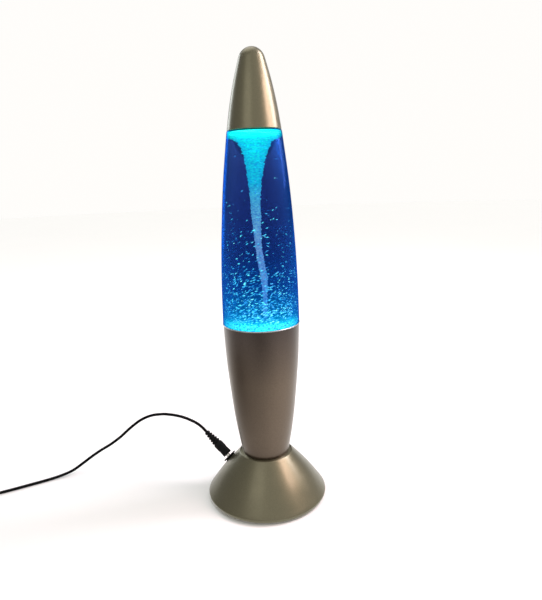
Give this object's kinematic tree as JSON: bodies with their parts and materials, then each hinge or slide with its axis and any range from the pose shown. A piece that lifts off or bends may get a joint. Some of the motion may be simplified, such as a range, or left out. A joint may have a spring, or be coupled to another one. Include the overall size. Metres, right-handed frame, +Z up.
{
  "type": "vortex glitter lamp",
  "caption": "Rocket-shaped table lamp: a clear bottle of blue glitter liquid with a stirred vortex, on a tapered metal body and flared base, under a pull-off nose cap.",
  "frame": {"origin": "on the lamp's axis, in the plane of the four feet's undersides", "axes": "+Z up along the lamp's axis, -Y towards the viewer, the power jack on the -X side"},
  "size_m": [0.3913, 0.1404, 0.4],
  "materials": {
    "champagne_metal": "satin metallic champagne paint",
    "clear_bottle": "clear polished",
    "blue_liquid": "clear blue liquid, lit from below",
    "black_plastic": "fine moulded texture",
    "white_plastic": "plain moulded",
    "black_rubber": "matt",
    "cord_rubber": "satin extruded sheath",
    "steel": "zinc-plated",
    "nickel": "nickel-plated",
    "brass": "plain turned",
    "green_board": "solder resist",
    "led_lens": "clear lens, lit"
  },
  "bodies": {
    "base": {"base_shell": "champagne_metal", "bottom_cover": "black_plastic", "cover_screw_1": "steel", "cover_screw_2": "steel", "cover_screw_3": "steel", "cover_screw_4": "steel", "foot_1": "black_rubber", "foot_2": "black_rubber", "foot_3": "black_rubber", "foot_4": "black_rubber", "control_board": "green_board", "board_screw_1": "steel", "board_screw_2": "steel", "tie_tube": "steel", "tie_nut_lower": "steel", "tie_washer": "steel", "tie_nut_upper": "steel", "body_casing": "champagne_metal", "loom": "cord_rubber", "motor_bracket": "white_plastic", "motor_can": "steel", "motor_screw_1": "steel", "motor_screw_2": "steel", "led_board": "green_board", "led_1": "led_lens", "led_2": "led_lens", "led_3": "led_lens", "led_4": "led_lens", "led_5": "led_lens", "led_6": "led_lens", "bottle_seat": "black_rubber", "dc_jack": "black_plastic", "dc_jack_pin": "brass", "dc_jack_nut": "nickel", "switch_body": "black_plastic", "switch_nut": "nickel", "cord": "cord_rubber", "cord_coil": "cord_rubber", "usb_plug_grip": "cord_rubber", "usb_plug_shell": "nickel"},
    "rotor": {"motor_shaft": "steel", "magnet_carrier": "black_plastic", "drive_magnet_1": "nickel", "drive_magnet_2": "nickel"},
    "bottle": {"bottle": "clear_bottle", "liquid": "blue_liquid", "stirrer_axle": "steel", "bottle_gasket": "black_rubber", "bottle_cap": "white_plastic"},
    "stirrer": {"stirrer": "white_plastic", "stirrer_magnet_1": "nickel", "stirrer_magnet_2": "nickel"},
    "nose_cap": {"nose_cap": "champagne_metal"},
    "power_button": {"power_button": "black_plastic"},
    "dc_plug": {"dc_plug_barrel": "nickel", "dc_plug_grip": "cord_rubber"}
  },
  "joints": [
    {"name": "bottle_lift", "type": "slide", "parent": "base", "child": "bottle", "axis": [0, 0, 1], "range_m": [0, 0.06]},
    {"name": "cap_lift", "type": "slide", "parent": "bottle", "child": "nose_cap", "axis": [0, 0, 1], "range_m": [0, 0.045]},
    {"name": "rotor_spin", "type": "hinge", "parent": "base", "child": "rotor", "pos_m": [0, 0, 0.14], "axis": [0, 0, 1], "continuous": true},
    {"name": "stirrer_spin", "type": "hinge", "parent": "bottle", "child": "stirrer", "pos_m": [0, 0, 0.16], "axis": [0, 0, 1], "continuous": true},
    {"name": "button_press", "type": "slide", "parent": "base", "child": "power_button", "axis": [0, -0.7912, -0.6115], "range_m": [0, 0.0015], "stiffness_N_per_m": 400, "springref_m": -0.002},
    {"name": "plug_pull", "type": "slide", "parent": "base", "child": "dc_plug", "axis": [-0.6783, 0.3308, 0.6561], "range_m": [0, 0.014], "deforming": ["cord"]}
  ],
  "couplings": [
    {"joint": "stirrer_spin", "follows": "rotor_spin", "ratio": 1}
  ]
}
